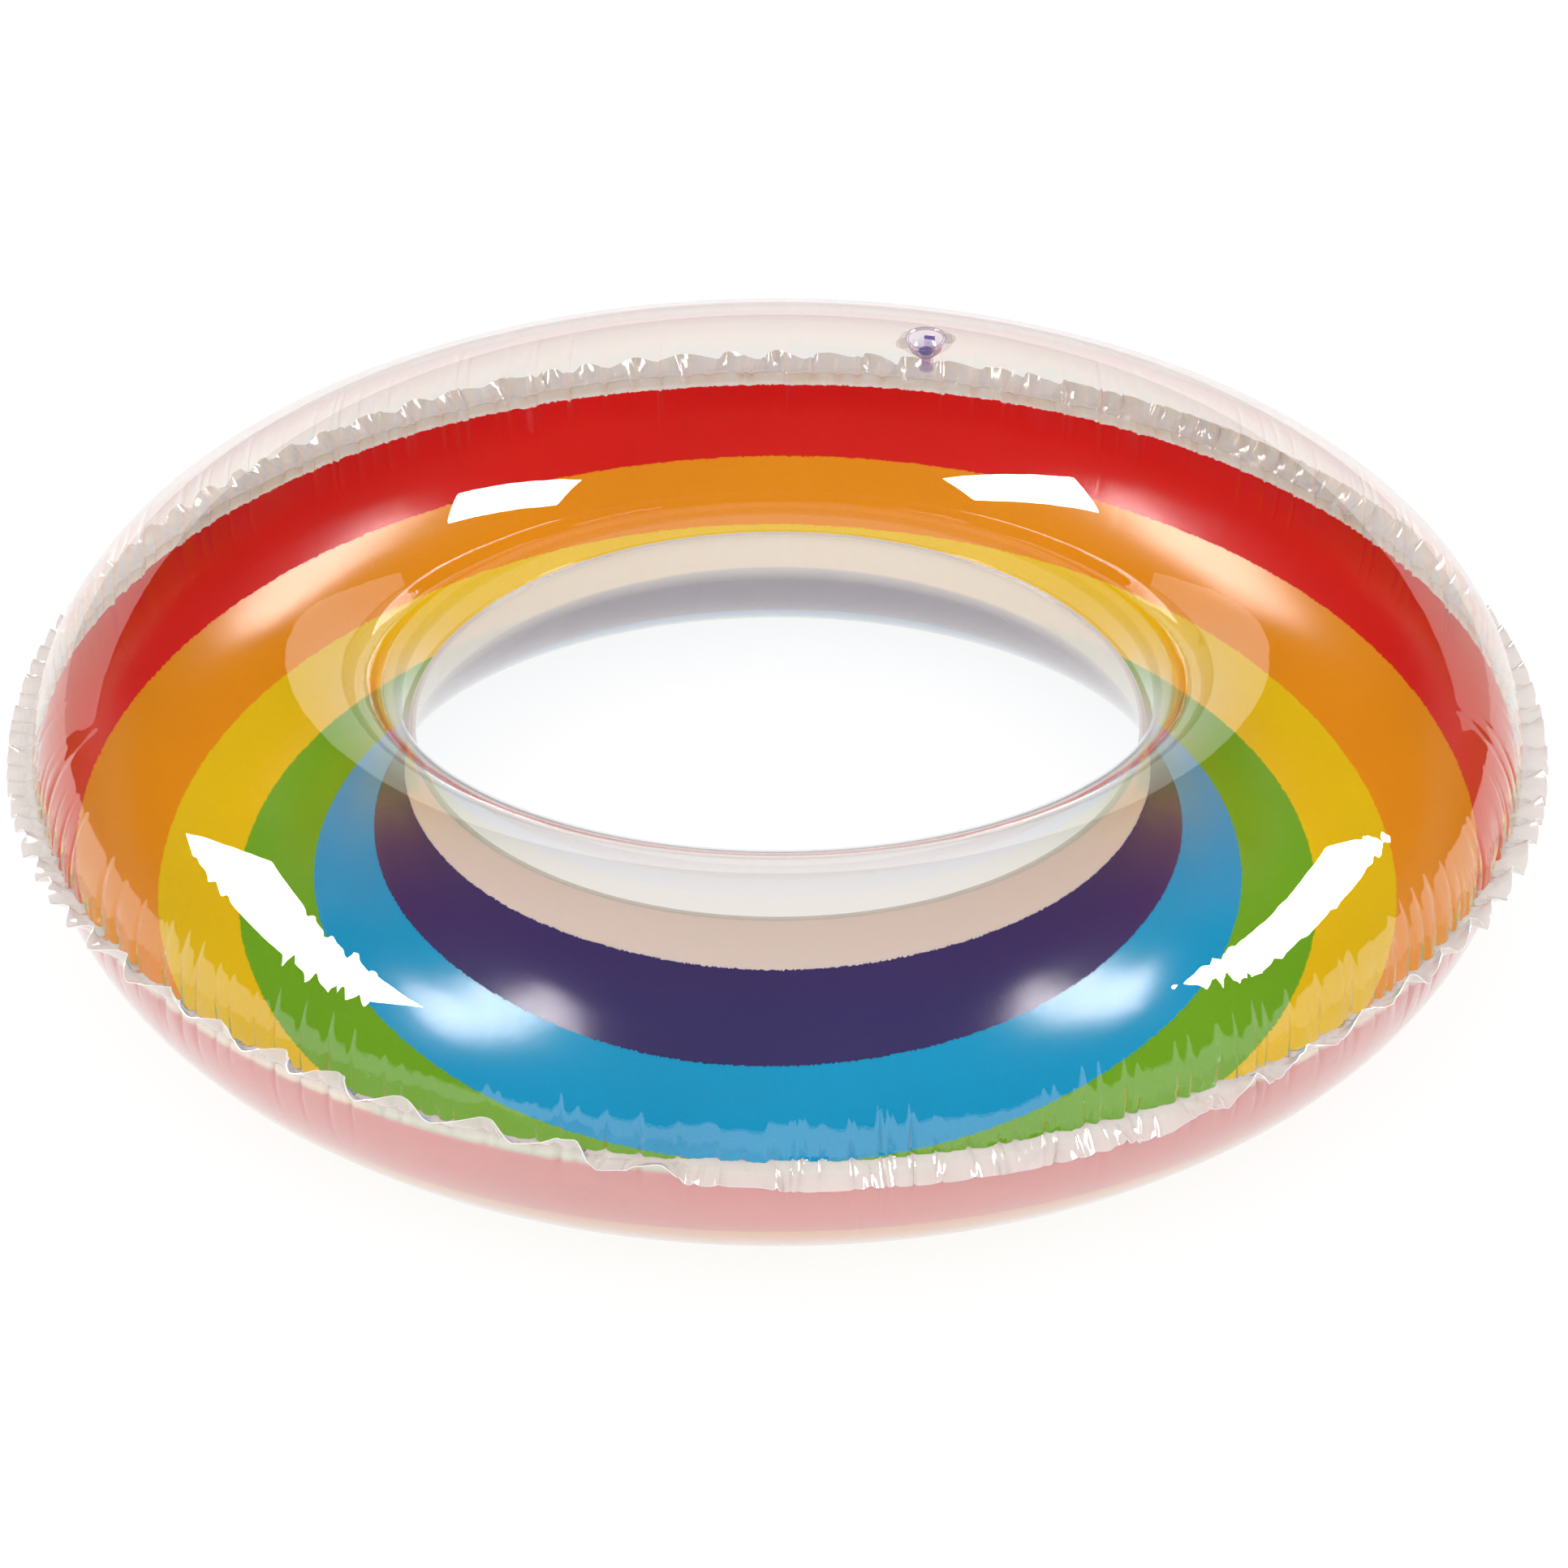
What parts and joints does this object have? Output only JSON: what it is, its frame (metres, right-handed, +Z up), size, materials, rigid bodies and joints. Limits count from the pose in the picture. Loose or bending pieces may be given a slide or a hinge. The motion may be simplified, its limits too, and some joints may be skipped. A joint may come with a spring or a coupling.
{
  "type": "inflatable swim ring",
  "caption": "Round inflatable swim ring with a clear top film, a rainbow printed bottom film, crimped welded seams and a push-in inflation valve.",
  "frame": {"origin": "on the floor under the middle of the ring's hole", "axes": "+Z up along the ring's axis; +Y towards the side that carries the valve, -Y towards the viewer, +X to the viewer's right"},
  "size_m": [0.723, 0.723, 0.1655],
  "materials": {
    "clear_film": "clear glossy soft film",
    "milky_film": "milky translucent soft film",
    "tinted_pvc": "clear soft moulding with a violet tint",
    "ink_violet": "translucent gravure ink",
    "ink_blue": "translucent gravure ink",
    "ink_green": "translucent gravure ink",
    "ink_yellow": "translucent gravure ink",
    "ink_orange": "translucent gravure ink",
    "ink_red": "translucent gravure ink"
  },
  "bodies": {
    "ring": {"top_sheet": "clear_film", "bottom_sheet": "milky_film", "print_violet": "ink_violet", "print_blue": "ink_blue", "print_green": "ink_green", "print_yellow": "ink_yellow", "print_orange": "ink_orange", "print_red": "ink_red", "valve_foot": "clear_film", "valve_web": "tinted_pvc"},
    "stem": {"valve_stem": "tinted_pvc", "plug_strap": "tinted_pvc"},
    "plug": {"plug": "tinted_pvc"},
    "flap": {"check_flap": "tinted_pvc"}
  },
  "joints": [
    {"name": "valve_pull_up", "type": "slide", "parent": "ring", "child": "stem", "axis": [-0.034, -0.108, 0.9936], "range_m": [0, 0.0164], "deforming": ["valve_web"]},
    {"name": "plug_pull_out", "type": "slide", "parent": "stem", "child": "plug", "axis": [-0.034, -0.108, 0.9936], "range_m": [0, 0.009], "deforming": ["plug_strap"]},
    {"name": "flap_open", "type": "hinge", "parent": "stem", "child": "flap", "pos_m": [0.07608, 0.23781, 0.14571], "axis": [0.9994, -0.0018, 0.034], "range_deg": [-60, 0], "stiffness_Nm_per_rad": 0.0002}
  ]
}
